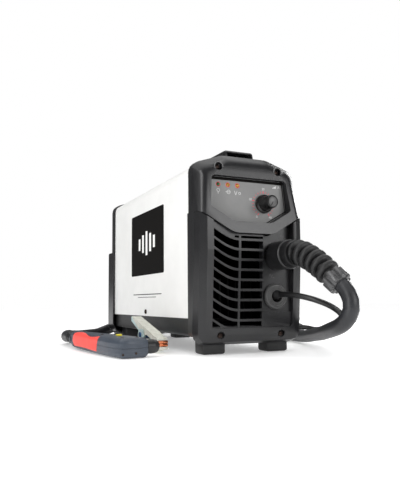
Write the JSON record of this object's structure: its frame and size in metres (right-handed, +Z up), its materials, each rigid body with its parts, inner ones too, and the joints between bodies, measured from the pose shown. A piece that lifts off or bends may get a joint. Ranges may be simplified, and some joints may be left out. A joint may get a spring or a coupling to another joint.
{
  "type": "plasma cutter unit",
  "caption": "Portable inverter plasma cutter: vented front with dial, carrying handle, feet, sheathed torch lead with hand torch, and work cable with sprung clamp.",
  "frame": {"origin": "on the floor, under the middle of the box round the unit, its torch and its clamp, without the leads", "axes": "+Z up, -Y out of the front with the dial, +Y to the rear with the mains switch, +X to the right side seen from the front"},
  "size_m": [0.5175, 0.6733, 0.2655],
  "materials": {
    "black_moulded_plastic": "fine matt grain",
    "grey_panel_film": "satin printed film",
    "white_powder_coat": "satin powder coat",
    "black_powder_coat": "satin powder coat",
    "black_rubber": "matt",
    "lead_rubber": "satin sheath",
    "zinc_plated_steel": "yellowish zinc plate",
    "spring_steel": "blued",
    "screw_steel": "dark plated",
    "extruded_aluminium": "plain",
    "copper": "worn bright copper",
    "brass": "turned",
    "circuit_board": "solder mask",
    "ferrite": "matt",
    "green_lens": "clear lens",
    "amber_lens": "clear lens",
    "blue_grey_plastic": "fine matt grain",
    "soft_red_rubber": "soft grip",
    "trigger_plastic": "satin",
    "yellow_plastic": "satin",
    "knob_plastic": "satin"
  },
  "bodies": {
    "unit": {"air_inlet": "brass", "base_tray": "black_powder_coat", "bend_protector": "black_rubber", "cable_grommet": "black_moulded_plastic", "capacitor": "black_powder_coat", "carry_handle": "black_moulded_plastic", "clamp_contact_lower": "copper", "clamp_lower_arm": "zinc_plated_steel", "clamp_pin": "zinc_plated_steel", "clamp_spring": "spring_steel", "control_bezel": "black_moulded_plastic", "control_board": "circuit_board", "control_plate": "grey_panel_film", "cover": "white_powder_coat", "cover_screw_left": "screw_steel", "cover_screw_right": "screw_steel", "fan_frame": "black_moulded_plastic", "foot_front_left": "black_rubber", "foot_front_right": "black_rubber", "foot_rear_left": "black_rubber", "foot_rear_right": "black_rubber", "front_frame": "black_moulded_plastic", "front_screw_lower_left": "screw_steel", "front_screw_lower_right": "screw_steel", "front_screw_upper_left": "screw_steel", "front_screw_upper_right": "screw_steel", "heat_sink": "extruded_aluminium", "led_alarm": "amber_lens", "led_pilot": "amber_lens", "led_power": "green_lens", "mains_gland": "black_moulded_plastic", "mains_switch_frame": "black_moulded_plastic", "potentiometer": "black_powder_coat", "power_board": "circuit_board", "protector_nut": "black_moulded_plastic", "rear_panel": "black_moulded_plastic", "solenoid_valve": "black_powder_coat", "torch_cap": "knob_plastic", "torch_gland": "black_moulded_plastic", "torch_grip": "soft_red_rubber", "torch_head": "brass", "torch_lead_coil": "lead_rubber", "torch_lead_front": "lead_rubber", "torch_lead_tail": "lead_rubber", "torch_nozzle": "copper", "torch_shell_lower": "blue_grey_plastic", "torch_shell_upper": "blue_grey_plastic", "torch_strain_relief": "black_rubber", "transformer_core": "ferrite", "transformer_winding": "copper", "work_cable_coil": "lead_rubber", "work_cable_front": "lead_rubber", "work_cable_tail": "lead_rubber"},
    "knob": {"current_knob": "knob_plastic"},
    "rocker": {"mains_rocker": "knob_plastic"},
    "fan": {"fan_rotor": "black_powder_coat"},
    "trigger": {"torch_trigger": "trigger_plastic"},
    "catch": {"torch_safety_catch": "yellow_plastic"},
    "clamp_arm": {"clamp_upper_arm": "zinc_plated_steel", "clamp_contact_upper": "copper"}
  },
  "joints": [
    {"name": "knob_turn", "type": "hinge", "parent": "unit", "child": "knob", "pos_m": [0.0769, -0.1776, 0.18703], "axis": [0, 1, 0], "range_deg": [0, 300]},
    {"name": "rocker_flip", "type": "hinge", "parent": "unit", "child": "rocker", "pos_m": [0.0529, 0.1854, 0.20003], "axis": [1, 0, 0], "range_deg": [-22, 0]},
    {"name": "fan_spin", "type": "hinge", "parent": "unit", "child": "fan", "pos_m": [0.0529, 0.1746, 0.09503], "axis": [0, 1, 0], "continuous": true},
    {"name": "trigger_pull", "type": "hinge", "parent": "unit", "child": "trigger", "pos_m": [-0.1006, -0.10576, 0.01226], "axis": [0, -0.0131, 0.9999], "range_deg": [0, 6], "stiffness_Nm_per_rad": 0.06, "springref_deg": -8.59},
    {"name": "catch_lift", "type": "hinge", "parent": "unit", "child": "catch", "pos_m": [-0.0966, -0.12375, 0.01202], "axis": [0, -0.0131, 0.9999], "range_deg": [-20, 0], "stiffness_Nm_per_rad": 0.01, "springref_deg": 8.59},
    {"name": "clamp_open", "type": "hinge", "parent": "unit", "child": "clamp_arm", "pos_m": [-0.0416, -0.0656, 0.02003], "axis": [1, 0, 0], "range_deg": [-16, 0], "stiffness_Nm_per_rad": 0.8, "springref_deg": 28.65}
  ]
}
